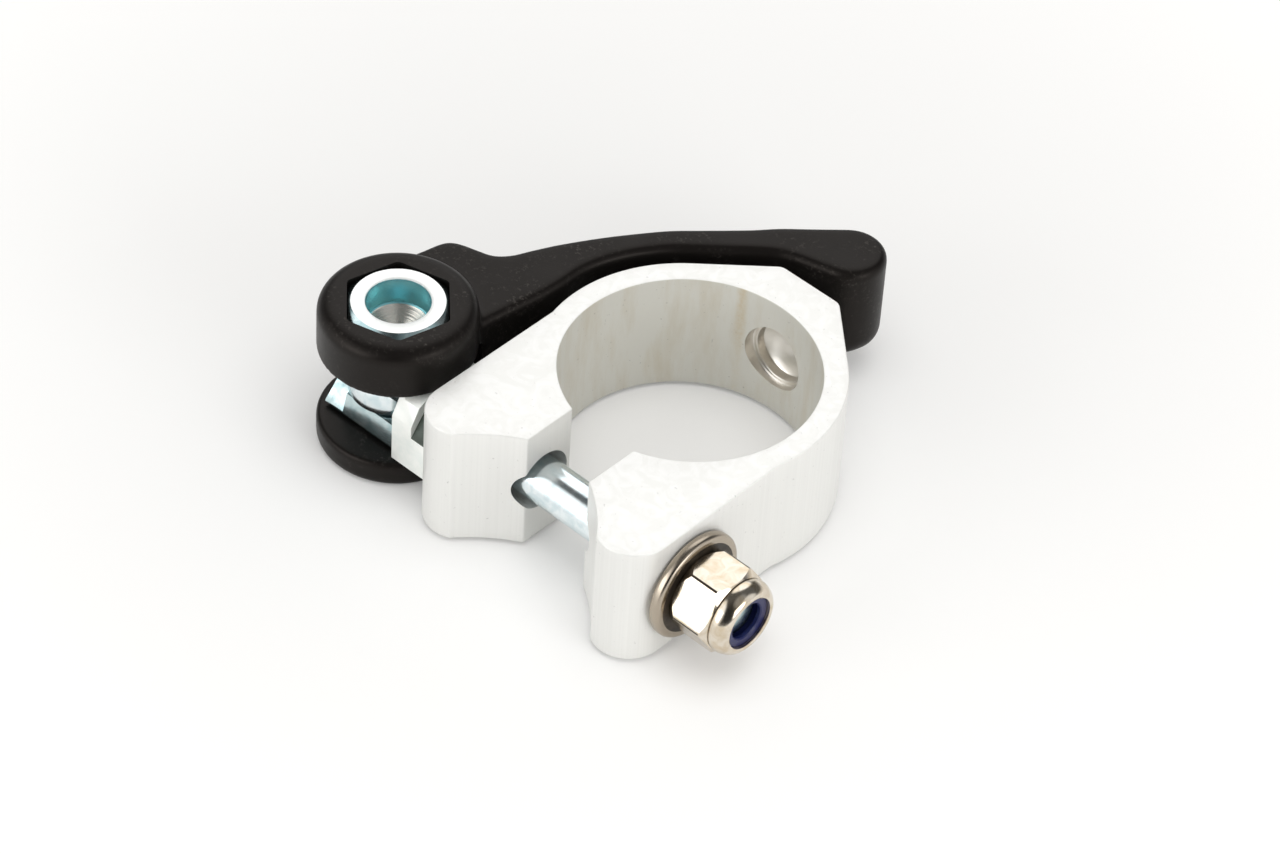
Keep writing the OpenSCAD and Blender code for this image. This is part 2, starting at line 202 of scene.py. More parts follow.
def hex_radius(a, af, edge=0.1):
    """Distance from the axis to a hexagon's side at angle a, corners at multiples of 60 degrees."""
    b = (a % (math.pi / 3)) - math.pi / 6
    return min(af / 2 / math.cos(b), af / math.sqrt(3) - edge)


def cut(obj, tool, operation="DIFFERENCE"):
    """Applies an exact boolean and drops the tool."""
    mod = obj.modifiers.new("cut", "BOOLEAN")
    mod.operation, mod.solver, mod.object = operation, "EXACT", tool
    deps = bpy.context.evaluated_depsgraph_get()
    mesh = bpy.data.meshes.new_from_object(obj.evaluated_get(deps))
    obj.modifiers.clear()
    old = obj.data
    obj.data = mesh
    bpy.data.meshes.remove(old)
    bpy.data.objects.remove(tool)


def weld(mesh):
    """Merges what a boolean leaves double and splits its many-cornered faces cleanly."""
    bm = bmesh.new()
    bm.from_mesh(mesh)
    bmesh.ops.remove_doubles(bm, verts=bm.verts, dist=0.006 * MM)
    bmesh.ops.dissolve_degenerate(bm, edges=bm.edges, dist=0.002 * MM)
    bmesh.ops.triangulate(bm, faces=[f for f in bm.faces if len(f.verts) > 4], ngon_method="BEAUTY")
    bmesh.ops.dissolve_degenerate(bm, edges=bm.edges, dist=0.002 * MM)
    bm.to_mesh(mesh)
    bm.free()


def prism(name, outline, x0, x1):
    """A bar along the bolt, drawn from its outline in the plane across it."""
    n = len(outline)
    verts = [(x, BOLT_Y + y, BOLT_Z + z) for x in (x0, x1) for y, z in outline]
    faces = [list(range(n)), [n + i for i in range(n)]]
    return place(name, verts, faces + [[i, (i + 1) % n, n + (i + 1) % n, n + i] for i in range(n)])


def bevel(obj, width_mm, angle=25):
    """Breaks the sharp edges."""
    edge = obj.modifiers.new("edge", "BEVEL")
    edge.width, edge.segments, edge.limit_method, edge.angle_limit = width_mm * MM, 2, "ANGLE", math.radians(angle)
    mesh = bpy.data.meshes.new_from_object(obj.evaluated_get(bpy.context.evaluated_depsgraph_get()))
    obj.modifiers.clear()
    obj.data = mesh


def soften(obj, voxel_mm, rounds):
    """Blends the joints of a moulding: one even skin, then smoothed."""
    skin = obj.modifiers.new("skin", "REMESH")
    skin.mode, skin.voxel_size = "VOXEL", voxel_mm * MM
    soft = obj.modifiers.new("soft", "SMOOTH")
    soft.factor, soft.iterations = 0.5, rounds
    deps = bpy.context.evaluated_depsgraph_get()
    mesh = bpy.data.meshes.new_from_object(obj.evaluated_get(deps))
    obj.modifiers.clear()
    obj.data = mesh


def finish(obj, material, body, *nodes, angle=32, materials=()):
    """Shading, material, and what the piece moves with and stands for."""
    obj.data.materials.clear()
    obj.data.materials.append(material)
    for extra in materials:
        obj.data.materials.append(extra)
    weld(obj.data)
    for poly in obj.data.polygons:
        poly.use_smooth = True
    obj.data.set_sharp_from_angle(angle=math.radians(angle))
    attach(obj, body)
    if nodes:
        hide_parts(*nodes)
    return obj


def along_x(x, y=BOLT_Y, z=BOLT_Z):
    """Places a body turned about Z so that its axis runs along X from the given point."""
    return Matrix.Translation(Vector((x, y, z)) * MM) @ Matrix.Rotation(math.pi / 2, 4, "Y")


def upright(x, y, z=0.0):
    return Matrix.Translation(Vector((x, y, z)) * MM)


# ---------------------------------------------------------------- materials
def linear(hex_code):
    """sRGB hex to a linear colour."""
    parts = [int(hex_code[i:i + 2], 16) / 255 for i in (1, 3, 5)]
    return (*[c / 12.92 if c <= 0.04045 else ((c + 0.055) / 1.055) ** 2.4 for c in parts], 1.0)


def add(tree, kind, links=None, **settings):
    """Adds a node: settings are its properties or its inputs' values, links are input name -> socket."""
    node = tree.nodes.new(kind)
    for key, value in settings.items():
        if hasattr(node, key):
            setattr(node, key, value)
        else:
            node.inputs[key.replace("_", " ")].default_value = value
    for key, socket in (links or {}).items():
        tree.links.new(socket, node.inputs[key])
    return node


def material(name, colour, roughness, metallic=0.0, **extra):
    """A principled material; returns it with its tree and shader."""
    mat = bpy.data.materials.new(name)
    mat.use_nodes = True
    tree = mat.node_tree
    shader = tree.nodes["Principled BSDF"]
    shader.inputs["Base Color"].default_value = linear(colour)
    shader.inputs["Roughness"].default_value = roughness
    shader.inputs["Metallic"].default_value = metallic
    for key, value in extra.items():
        shader.inputs[key.replace("_", " ")].default_value = value
    return mat, tree, shader


def satin_anodised_aluminium():
    """Extruded aluminium, sawn, deburred and clear anodised: pale and satin, die lines up its sides, mottled ends."""
    mat, tree, shader = material("satin_anodised_aluminium", "#ECECE8", 0.4, 0.3)
    at = add(tree, "ShaderNodeTexCoord").outputs["Object"]
    facing = add(tree, "ShaderNodeSeparateXYZ", {"Vector": add(tree, "ShaderNodeNewGeometry").outputs["Normal"]})
    ends = add(tree, "ShaderNodeMapRange", {"Value": facing.outputs["Z"]}, From_Min=0.5, From_Max=0.95).outputs["Result"]
    # Acid-matt swirls of 2 mm on the sawn ends, hardly there on the sides
    swirl = add(tree, "ShaderNodeTexNoise", {"Vector": at}, Scale=1 / (2.6 * MM), Detail=3.0, Roughness=0.55, Distortion=1.6)
    patch = add(tree, "ShaderNodeMapRange", {"Value": swirl.outputs["Fac"]}, From_Min=0.4, From_Max=0.62).outputs["Result"]
    patch = add(tree, "ShaderNodeMath", {0: patch, 1: ends}, operation="MULTIPLY").outputs[0]
    tint = add(tree, "ShaderNodeMix", {"Factor": patch}, data_type="RGBA")
    tint.inputs["A"].default_value, tint.inputs["B"].default_value = linear("#EBEBE8"), linear("#F2F2F0")
    flat = add(tree, "ShaderNodeVectorMath", {0: at}, operation="MULTIPLY")
    flat.inputs[1].default_value = (1, 1, 0)
    reach = add(tree, "ShaderNodeVectorMath", {0: flat.outputs[0]}, operation="LENGTH").outputs["Value"]
    inside = add(tree, "ShaderNodeMath", {0: reach}, operation="LESS_THAN")
    inside.inputs[1].default_value = (BORE_R + 0.05) * MM
    # Die lines of 0.35 mm along the extrusion, worn off the ends and the bore
    plain = add(tree, "ShaderNodeMath", {0: ends, 1: inside.outputs[0]}, operation="MAXIMUM").outputs[0]
    stretch = add(tree, "ShaderNodeMapping", {"Vector": at})
    stretch.inputs["Scale"].default_value = (1 / (0.35 * MM), 1 / (0.35 * MM), 1 / (60 * MM))
    lines = add(tree, "ShaderNodeTexNoise", {"Vector": stretch.outputs[0]}, Scale=1.0, Detail=3.0)
    band = add(tree, "ShaderNodeMapRange", {"Value": lines.outputs["Fac"]}, From_Min=0.3, From_Max=0.7, To_Min=0.955, To_Max=1.0).outputs["Result"]
    # Specks of 0.15 mm where grime sits in the pores
    pores = add(tree, "ShaderNodeTexNoise", {"Vector": at}, Scale=1 / (0.5 * MM), Detail=2.0)
    speck = add(tree, "ShaderNodeMapRange", {"Value": pores.outputs["Fac"]}, From_Min=0.70, From_Max=0.78, To_Min=1.0, To_Max=0.72).outputs["Result"]
    band = add(tree, "ShaderNodeMath", {0: band, 1: plain}, operation="MAXIMUM").outputs[0]
    shade = add(tree, "ShaderNodeMath", {0: band, 1: speck}, operation="MULTIPLY").outputs[0]
    pale = add(tree, "ShaderNodeVectorMath", {0: tint.outputs["Result"], "Scale": shade}, operation="SCALE").outputs[0]
    # The bore is painted darker all over as painted shade inside the ring, with warm streaks of 3 mm where the tube has
    # rubbed
    streak_at = add(tree, "ShaderNodeMapping", {"Vector": at})
    streak_at.inputs["Scale"].default_value = (1 / (3 * MM), 1 / (3 * MM), 1 / (14 * MM))
    streak = add(tree, "ShaderNodeTexNoise", {"Vector": streak_at.outputs[0]}, Scale=1.0, Detail=5.0, Roughness=0.65)
    rubbed = add(tree, "ShaderNodeMapRange", {"Value": streak.outputs["Fac"]}, From_Min=0.45, From_Max=0.75).outputs["Result"]
    shade_and_stain = add(tree, "ShaderNodeMix", {"Factor": rubbed}, data_type="RGBA")
    shade_and_stain.inputs["A"].default_value, shade_and_stain.inputs["B"].default_value = linear("#E9E8E3"), linear("#DED8CB")
    # One run of brown oil beside the recess, 1.5 mm wide
    apart = add(tree, "ShaderNodeVectorMath", {0: flat.outputs[0]}, operation="DISTANCE")
    apart.inputs[1].default_value = Vector(OIL_RUN) * MM
    close = add(tree, "ShaderNodeMapRange", {"Value": apart.outputs["Value"]}, From_Min=0.2 * MM, From_Max=0.9 * MM, To_Min=1.0, To_Max=0.0)
    broken = add(tree, "ShaderNodeMapRange", {"Value": pores.outputs["Fac"]}, From_Min=0.3, From_Max=0.65, To_Min=0.2, To_Max=0.55)
    height = add(tree, "ShaderNodeSeparateXYZ", {"Vector": at})
    upper = add(tree, "ShaderNodeMapRange", {"Value": height.outputs["Z"]}, From_Min=6 * MM, From_Max=12 * MM, To_Min=0.3, To_Max=1.0)
    run = add(tree, "ShaderNodeMath", {0: close.outputs["Result"], 1: broken.outputs["Result"]}, operation="MULTIPLY")
    run = add(tree, "ShaderNodeMath", {0: run.outputs[0], 1: upper.outputs["Result"]}, operation="MULTIPLY")
    shade_and_stain = add(tree, "ShaderNodeMix", {"Factor": run.outputs[0], "A": shade_and_stain.outputs["Result"]}, data_type="RGBA")
    shade_and_stain.inputs["B"].default_value = linear("#D6C29C")
    # Only the bore takes this painted shade and its stains; the outside is multiplied by white
    bore_shade_and_stain = add(tree, "ShaderNodeMix", {"Factor": inside.outputs[0], "B": shade_and_stain.outputs["Result"]}, data_type="RGBA")
    bore_shade_and_stain.inputs["A"].default_value = (1, 1, 1, 1)
    colour = add(tree, "ShaderNodeVectorMath", {0: pale, 1: bore_shade_and_stain.outputs["Result"]}, operation="MULTIPLY")
    tree.links.new(colour.outputs[0], shader.inputs["Base Color"])
    rough = add(tree, "ShaderNodeMapRange", {"Value": swirl.outputs["Fac"]}, To_Min=0.36, To_Max=0.46)
    tree.links.new(rough.outputs["Result"], shader.inputs["Roughness"])
    grain = add(tree, "ShaderNodeTexNoise", {"Vector": at}, Scale=1 / (0.12 * MM), Detail=2.0)
    low = add(tree, "ShaderNodeBump", {"Height": lines.outputs["Fac"]}, Strength=0.2, Distance=0.012 * MM)
    high = add(tree, "ShaderNodeBump", {"Height": grain.outputs["Fac"], "Normal": low.outputs[0]}, Strength=0.3, Distance=0.008 * MM)
    tree.links.new(high.outputs[0], shader.inputs["Normal"])
    return mat


def black_moulding():
    """Black reinforced nylon from a spark-eroded mould: satin, finely grained, dusty and scuffed in places."""
    mat, tree, shader = material("black_moulded_nylon", "#0E0C0B", 0.42, Specular_IOR_Level=0.2)
    shader.inputs["Specular Tint"].default_value = linear("#FFF3EA")
    at = add(tree, "ShaderNodeTexCoord").outputs["Object"]
    cloud = add(tree, "ShaderNodeTexNoise", {"Vector": at}, Scale=1 / (5 * MM), Detail=2.0)
    dust = add(tree, "ShaderNodeTexNoise", {"Vector": at}, Scale=1 / (0.55 * MM), Detail=4.0, Roughness=0.7)
    fleck = add(tree, "ShaderNodeMapRange", {"Value": dust.outputs["Fac"]}, From_Min=0.55, From_Max=0.75).outputs["Result"]
    where = add(tree, "ShaderNodeMapRange", {"Value": cloud.outputs["Fac"]}, From_Min=0.42, From_Max=0.68).outputs["Result"]
    scuff = add(tree, "ShaderNodeMath", {0: fleck, 1: where}, operation="MULTIPLY").outputs[0]
    colour = add(tree, "ShaderNodeMix", {"Factor": scuff}, data_type="RGBA")
    colour.inputs["A"].default_value, colour.inputs["B"].default_value = linear("#0E0C0B"), linear("#43403D")
    tree.links.new(colour.outputs["Result"], shader.inputs["Base Color"])
    rough = add(tree, "ShaderNodeMapRange", {"Value": cloud.outputs["Fac"]}, To_Min=0.33, To_Max=0.48)
    tree.links.new(rough.outputs["Result"], shader.inputs["Roughness"])
    grain = add(tree, "ShaderNodeTexNoise", {"Vector": at}, Scale=1 / (0.3 * MM), Detail=3.0)
    bump = add(tree, "ShaderNodeBump", {"Height": grain.outputs["Fac"]}, Strength=0.45, Distance=0.02 * MM)
    tree.links.new(bump.outputs[0], shader.inputs["Normal"])
    return mat


def plated(name, colours, roughness, grain_mm=0.25, depth=0.2, metallic=1.0):
    """Electroplate over steel: bright, its hue drifting in patches of 1.5 mm, with a fine grain."""
    mat, tree, shader = material(name, colours[0], roughness, metallic)
    at = add(tree, "ShaderNodeTexCoord").outputs["Object"]
    drift = add(tree, "ShaderNodeTexNoise", {"Vector": at}, Scale=1 / (1.5 * MM), Detail=3.0, Distortion=0.8)
    share = add(tree, "ShaderNodeMapRange", {"Value": drift.outputs["Fac"]}, From_Min=0.38, From_Max=0.66).outputs["Result"]
    colour = add(tree, "ShaderNodeMix", {"Factor": share}, data_type="RGBA")
    colour.inputs["A"].default_value, colour.inputs["B"].default_value = linear(colours[0]), linear(colours[1])
    tree.links.new(colour.outputs["Result"], shader.inputs["Base Color"])
    wear = add(tree, "ShaderNodeTexNoise", {"Vector": at}, Scale=1 / (0.8 * MM), Detail=3.0)
    rough = add(tree, "ShaderNodeMapRange", {"Value": wear.outputs["Fac"]}, To_Min=roughness * 0.7, To_Max=roughness * 1.4)
    tree.links.new(rough.outputs["Result"], shader.inputs["Roughness"])
    fine = add(tree, "ShaderNodeTexNoise", {"Vector": at}, Scale=1 / (grain_mm * MM), Detail=2.0)
    bump = add(tree, "ShaderNodeBump", {"Height": fine.outputs["Fac"]}, Strength=depth, Distance=0.01 * MM)
    tree.links.new(bump.outputs[0], shader.inputs["Normal"])
    return mat


def lathe_turned(name, colour, centre_mm, axis, roughness=0.26, metallic=1.0, feed_mm=0.18, depth_mm=0.012):
    """Metal faced on a lathe: fine rings round its axis, which fan the light out."""
    mat, tree, shader = material(name, colour, roughness, metallic, Anisotropic=0.75)
    at = add(tree, "ShaderNodeTexCoord").outputs["Object"]
    arm = add(tree, "ShaderNodeVectorMath", {0: at}, operation="SUBTRACT")
    arm.inputs[1].default_value = Vector(centre_mm) * MM
    round_it = add(tree, "ShaderNodeVectorMath", {1: arm.outputs[0]}, operation="CROSS_PRODUCT")
    round_it.inputs[0].default_value = axis
    tree.links.new(round_it.outputs[0], shader.inputs["Tangent"])
    reach = add(tree, "ShaderNodeVectorMath", {0: round_it.outputs[0]}, operation="LENGTH")
    # Feed marks, one ring per turn of the work
    step = add(tree, "ShaderNodeMath", {0: reach.outputs["Value"]}, operation="DIVIDE")
    step.inputs[1].default_value = feed_mm * MM
    rings = add(tree, "ShaderNodeTexNoise", {"W": step.outputs[0]}, noise_dimensions="1D", Scale=1.0, Detail=2.0)
    bump = add(tree, "ShaderNodeBump", {"Height": rings.outputs[0]}, Strength=0.5, Distance=depth_mm * MM)
    tree.links.new(bump.outputs[0], shader.inputs["Normal"])
    return mat


ALUMINIUM = satin_anodised_aluminium()
BLACK = black_moulding()
NICKEL = plated("bright_nickel_plate", ("#DDD4C6", "#CCBDA5"), 0.15, 0.3, 0.4)
# Dark brown copy of the nickel: painted shade between the washer and the nut, in the nut's neck and along its hex
# corners
SHADE_NICKEL = plated("painted_shade_nickel_plate", ("#3F372D", "#2A241E"), 0.35, 0.5, 0.6, 0.6)
ZINC = plated("clear_zinc_plate", ("#EAF2F4", "#D3E2E6"), 0.18, 0.4, 0.3)
BLUE_ZINC = plated("blue_zinc_plate", ("#CFE0E2", "#A9C4C8"), 0.2, 0.4, 0.3)
# Pale matt copy of the zinc for the yoke's block: a matt, less metallic finish whose near-white tone is a painted
# reflection of the white tent
MATT_REFLECTION_ZINC = plated("matt_painted_reflection_zinc_plate", ("#F4F6F2", "#EBF0EC"), 0.4, 0.3, 0.5, 0.3)
# Dark green copy of the zinc: painted shade and dark reflection of the lever above, for the relief's facets
PAINTED_SHADE_ZINC = plated("painted_shade_zinc_plate", ("#454F48", "#384039"), 0.4, 0.4, 0.6, 0.2)
TEAL = lathe_turned("blue_passivated_bore", "#93D3DA", (LEVER_X, BOLT_Y, 0), (0, 0, 1), 0.26, 0.8, 0.3, 0.03)
TURNED = lathe_turned("faced_zinc_plate", "#F6F8F7", (LEVER_X, BOLT_Y, 0), (0, 0, 1), 0.3, 0.45, 0.2, 0.05)
CONE = lathe_turned("coned_zinc_plate", "#F0EDE4", (LEVER_X, BOLT_Y, 0), (0, 0, 1), 0.2, 0.9, 0.35, 0.06)
DRILLED = lathe_turned("drilled_aluminium", "#EDE9E2", (0, 0, BOLT_Z), (0, 1, 0), 0.3)
WASHER_STEEL = lathe_turned("rolled_nickel_plate", "#AEA394", (0, BOLT_Y, BOLT_Z), (1, 0, 0), 0.24, 1.0, 0.4, 0.02)
NYLON, _, _ = material("navy_nylon", "#10184F", 0.38)

# ---------------------------------------------------------------- collar
def collar_outline():
    """Plan of the split ring with its two ears; the bore is part of the same closed line."""
    nose_x = EAR_X - NOSE_R
    chord = (nose_x - NOSE_R * math.cos(math.radians(62)), NOSE_Y - NOSE_R * math.sin(math.radians(62)))
    corner = (SLIT_X, SLIT_FRONT_Y)
    span = math.dist(chord, corner)
    off = math.sqrt(HOLLOW_R ** 2 - span ** 2 / 4)
    hx = (chord[0] + corner[0]) / 2 + off * (chord[1] - corner[1]) / span
    hy = (chord[1] + corner[1]) / 2 - off * (chord[0] - corner[0]) / span
    a0 = math.degrees(math.atan2(corner[1] - hy, corner[0] - hx))
    a1 = math.degrees(math.atan2(chord[1] - hy, chord[0] - hx))
    slit_y = -math.sqrt(BORE_R ** 2 - SLIT_X ** 2)
    kink = -math.degrees(math.asin(math.sqrt(RING_R ** 2 - EAR_X ** 2) / RING_R))
    rc_y = REAR_Y - REAR_CORNER_R
    f = math.radians(FLANK_A)
    rc_x = ((RING_R - REAR_CORNER_R) - rc_y * math.sin(f)) / math.cos(f)
    right = [(SLIT_X, slit_y)] + line((SLIT_X, slit_y), corner, 1.5)
    right += [corner] + arc(hx, hy, HOLLOW_R, a0, a1, 0.6)[4:-1]
    right += arc(nose_x, NOSE_Y, NOSE_R, 242, 360, 5)
    right += arc(0, 0, RING_R, kink, FLANK_A)
    right += arc(rc_x, rc_y, REAR_CORNER_R, FLANK_A, 90, 8)
    left = [(-x, y) for x, y in right[::-1]]
    a = math.degrees(math.atan2(slit_y, -SLIT_X)) % 360
    bore = arc(0, 0, BORE_R, a, 180 - a, 1.5)[3:-3]
    return rounded(right + left + bore, 0.4)


collar = slab("collar_skin", collar_outline(), 0.0, COLLAR_H, 0.2, 0.2, steps=3, rows=12)
recess = turned("recess", [(0, 0), (4.4, 0), (4.4, 16.75), (4.25, 16.9), (3.95, 16.9), (3.85, 17.0), (3.85, 18.2), (3.7, 18.35), (0, 20.1)],
                Matrix.Translation(Vector((0, 0, BOLT_Z)) * MM) @ Matrix.Rotation(-math.pi / 2, 4, "X"))
cut(collar, turned("hole", [(0, -30), (4.0, -30), (4.0, 30), (0, 30)], along_x(0.0)))
cut(collar, recess)
finish(collar, ALUMINIUM, "collar", "collar", angle=28, materials=(DRILLED,))
for poly in collar.data.polygons:
    c = poly.center / MM
    if 14 < c.y < 20.3 and math.hypot(c.x, c.z - BOLT_Z) < 4.42:
        poly.material_index = 1

# ---------------------------------------------------------------- lever
HUB_R, ARM_TOP = 9.75, 17.35
DISC_TOP, FORK_HI, FORK_LO, DISC_LOW = 21.0, 14.1, 3.0, -0.6
INNER = [(-22.5, -17.5), (-22.4, -12), (-22.0, -8.7), (-21.55, -5.8), (-21.1, -2.9), (-20.9, 0.0), (-20.85, 3.7),
         (-19.95, 7.3), (-18.4, 10.6), (-16.3, 13.7), (-14.3, 15.8), (-11.0, 18.9), (-8.6, 21.2), (-6.6, 22.8),
         (-4.4, 23.8)]
OUTER = [(-3.85, 32.8), (-6.8, 29.8), (-9.8, 26.8), (-12.2, 23.9), (-16.2, 19.6), (-18.8, 16.8), (-21.1, 13.7),
         (-23.9, 9.5), (-26.5, 5.0), (-28.1, 1.7), (-29.2, -0.7), (-30.6, -2.2), (-32.6, -2.9), (-34.3, -3.4),
         (-35.7, -4.1), (-36.6, -5.4), (-37.3, -8.5), (-38.7, -14.5), (-39.1, -17.5)]
plan = smooth_path(INNER) + arc(-0.6, 29.6, 4.55, -70, 132, 6) + smooth_path(OUTER)[1:] + [(-36, -23), (-25, -23)]


def arm_bottom(x, y):
    """The arm's lower face rises gently from the hub to the paddle."""
    t = min(1.0, max(0.0, (y + 12) / 40))
    return 0.0 + 3.45 * t


def arm_low_round(x, y):
    t = min(1.0, max(0.0, (y - 18) / 10))
    return 1.1 + 1.3 * t


quarter = [(math.cos(math.radians(a)), math.sin(math.radians(a))) for a in range(0, 91, 15)]
arm = slab("lever_skin", plan, arm_bottom, ARM_TOP, arm_low_round, 1.1, steps=5)
cut(arm, turned("fork", [(0, FORK_LO), (10.2, FORK_LO), (10.2, FORK_HI), (0, FORK_HI)], upright(LEVER_X, BOLT_Y)))
disc = [(0, FORK_HI), (HUB_R - 0.1, FORK_HI), (HUB_R, FORK_HI + 0.1)]
disc += [(HUB_R - 1.9 + 1.9 * c, DISC_TOP - 1.6 + 1.6 * s) for c, s in quarter] + [(0, DISC_TOP)]
cut(arm, turned("disc_top", disc, upright(LEVER_X, BOLT_Y), 160), "UNION")
disc = [(0, DISC_LOW)] + [(HUB_R - 1.1 + 1.1 * s, DISC_LOW + 1.1 - 1.1 * c) for c, s in quarter]
disc += [(HUB_R, FORK_LO - 0.3), (HUB_R - 0.3, FORK_LO), (0, FORK_LO)]
cut(arm, turned("disc_low", disc, upright(LEVER_X, BOLT_Y), 160), "UNION")
soften(arm, 0.25, 8)
pocket = hexagonal("pocket", [lambda a: (0, 15.3), lambda a: (hex_radius(a, 12.25, 0.15), 15.3),
                              lambda a: (hex_radius(a, 12.25, 0.15), 22), lambda a: (0, 22)],
                   upright(LEVER_X, BOLT_Y), math.radians(15.5))
cut(pocket, turned("journal", [(0, 2), (4.05, 2), (4.05, 23), (0, 23)], upright(LEVER_X, BOLT_Y)), "UNION")
cut(pocket, turned("journal_low", [(0, -2), (2.35, -2), (2.35, 4), (0, 4)], upright(LEVER_X, BOLT_Y)), "UNION")
cut(arm, pocket)
finish(arm, BLACK, "lever", "lever", angle=40)

# ---------------------------------------------------------------- cam barrel
HEX_TOP, HEX_Z0, HEX_AF, HOLE_R, FACE_R = 21.0, 15.35, 12.0, 3.97, 5.72


def barrel_top(a):
    r = hex_radius(a, HEX_AF)
    return r, HEX_TOP - max(0.0, r - FACE_R) * 0.8


def tool_marked(r, z):
    """One turned level of the hole."""
    return lambda a: (r, HEX_TOP - z)


# The reamed wall carries rings 0.45 mm apart, the cone below it rings 0.34 mm apart
levels = [lambda a: (0, HEX_Z0), lambda a: (hex_radius(a, HEX_AF), HEX_Z0), barrel_top,
          tool_marked(FACE_R, 0), tool_marked(HOLE_R + 0.1, 0), tool_marked(HOLE_R + 0.03, 0.04)]
levels += [tool_marked(HOLE_R - (0.06 if k % 2 else 0.0), 0.12 + 0.225 * k) for k in range(17)]
levels += [tool_marked(HOLE_R - 0.2 - 0.17 * k, 3.85 + 0.12 * k + (0.06 if k % 2 else 0.0)) for k in range(22)]
levels += [tool_marked(0, 6.5)]
barrel = hexagonal("cam_barrel_skin", levels, upright(LEVER_X, BOLT_Y), math.radians(15.5))
for name, x, r, z0, z1 in (("journal", 0, 4.0, 10.7, 15.5), ("eccentric", -0.75, 3.15, 6.4, 10.8), ("end", 0, 2.3, 0.0, 6.5)):
    cut(barrel, turned(name, [(0, z0), (r - 0.15, z0), (r, z0 + 0.15), (r, z1), (0, z1)], upright(LEVER_X + x, BOLT_Y)), "UNION")
finish(barrel, BLUE_ZINC, "lever", "cam_barrel", angle=32, materials=(TEAL, TURNED, CONE))
for poly in barrel.data.polygons:
    c = poly.center / MM - Vector((LEVER_X, BOLT_Y, 0))
    if c.z > 15.5 and math.hypot(c.x, c.y) < 5.6:
        poly.material_index = 2 if c.z > 20.8 else 1 if c.z > 17.1 else 3

# ---------------------------------------------------------------- nut, washer, insert
NUT_X, NUT_AF = 20.075, 10.0


def nut_low(a):
    r = hex_radius(a, NUT_AF)
    return r, max(0.0, r - 4.95) * 1.75


def nut_high(a):
    r = hex_radius(a, NUT_AF)
    return r, 5.85 - max(0.0, r - 4.92) * 0.95


nut = hexagonal("nut_skin", [
    lambda a: (3.0, 0.35), lambda a: (3.3, 0.0), lambda a: (4.6, 0.0), lambda a: (4.95, 0.0), nut_low, nut_high,
    lambda a: (4.92, 5.85), lambda a: (4.82, 5.88), lambda a: (4.8, 5.96), lambda a: (4.88, 6.14), lambda a: (4.88, 6.6), lambda a: (4.78, 7.0), lambda a: (4.62, 7.4),
    lambda a: (4.4, 7.75), lambda a: (4.15, 8.0), lambda a: (3.9, 8.16), lambda a: (3.65, 8.2), lambda a: (3.45, 8.1),
    lambda a: (3.4, 7.9), lambda a: (3.4, 7.65), lambda a: (4.0, 7.6), lambda a: (4.0, 5.6), lambda a: (3.0, 5.6)],
    along_x(NUT_X), math.radians(30), n=288, closed=True)
finish(nut, NICKEL, "nut", "nut", angle=24, materials=(SHADE_NICKEL,))
# The nut's neck and its hex corners below the dome take the painted shade
for poly in nut.data.polygons:
    c = poly.center / MM - Vector((NUT_X, BOLT_Y, BOLT_Z))
    r = math.hypot(c.y, c.z)
    if (4.75 < r < 4.9 and 5.87 < c.x < 5.97) or (c.x < 5.5 and r > 5.655):
        poly.material_index = 1
insert = turned("nut_insert_skin", [(3.0, 5.7), (3.0, 6.9), (2.5, 6.95), (2.4, 7.1), (2.4, 7.5), (2.55, 7.66),
                                    (3.2, 7.68), (3.35, 7.66), (3.39, 7.58), (3.95, 7.55), (3.95, 5.7)],
                along_x(NUT_X), closed=True)
finish(insert, NYLON, "nut", "nut_insert")
washer = turned("washer_skin", [(3.3, 0.12), (3.42, 0.0), (6.72, 0.0), (6.9, 0.07), (6.98, 0.22), (7.0, 0.6), (6.97, 1.0),
                                (6.86, 1.22), (6.66, 1.36), (6.45, 1.4), (6.0, 1.4), (3.45, 1.4), (3.3, 1.28)], along_x(18.65), closed=True)
finish(washer, WASHER_STEEL, "washer", "washer", materials=(SHADE_NICKEL,))
# The washer's face within 6 mm of the bolt, under the nut, takes the painted shade
for poly in washer.data.polygons:
    c = poly.center / MM
    if c.x > 20.04 and math.hypot(c.y - BOLT_Y, c.z - BOLT_Z) < 6.0:
        poly.material_index = 1

# ---------------------------------------------------------------- bolt
EYE_X, EYE_R, EYE_LOW, EYE_HIGH = -30.25, 5.4, 6.5, 10.6
SHANK_START, THREAD_START, SHANK_END, PITCH = -22.75, 13.0, 26.6, 1.0


def threaded_shank(n=72, per_turn=16):
    """The plain shank and its M6 thread as one grid of rings."""
    stations = [SHANK_START, SHANK_START + 0.01, 0.0]
    rows = int((SHANK_END - THREAD_START) / PITCH * per_turn)
    stations += [THREAD_START + (SHANK_END - THREAD_START) * k / rows for k in range(rows + 1)]
    verts, faces = [], []
    for x in stations:
        for i in range(n):
            a = 2 * math.pi * i / n
            t = (x / PITCH - i / n) % 1.0
            groove = max(0.0, 1 - abs(t - 0.5) / 0.5 * 1.25)
            fade = min(1.0, max(0.0, (x - THREAD_START) / PITCH))
            r = min(SHANK_R - 0.5 * groove * fade, SHANK_R - max(0.0, x - (SHANK_END - 0.7)))
            if x == SHANK_START:
                r = 1.0
            verts.append((x, BOLT_Y + r * math.cos(a), BOLT_Z + r * math.sin(a)))
    for k in range(len(stations) - 1):
        for i in range(n):
            j = (i + 1) % n
            faces.append([k * n + i, k * n + j, (k + 1) * n + j, (k + 1) * n + i])
    faces.append([i for i in range(n)][::-1])
    faces.append([(len(stations) - 1) * n + i for i in range(n)])
    return place("eye_bolt_skin", verts, faces)


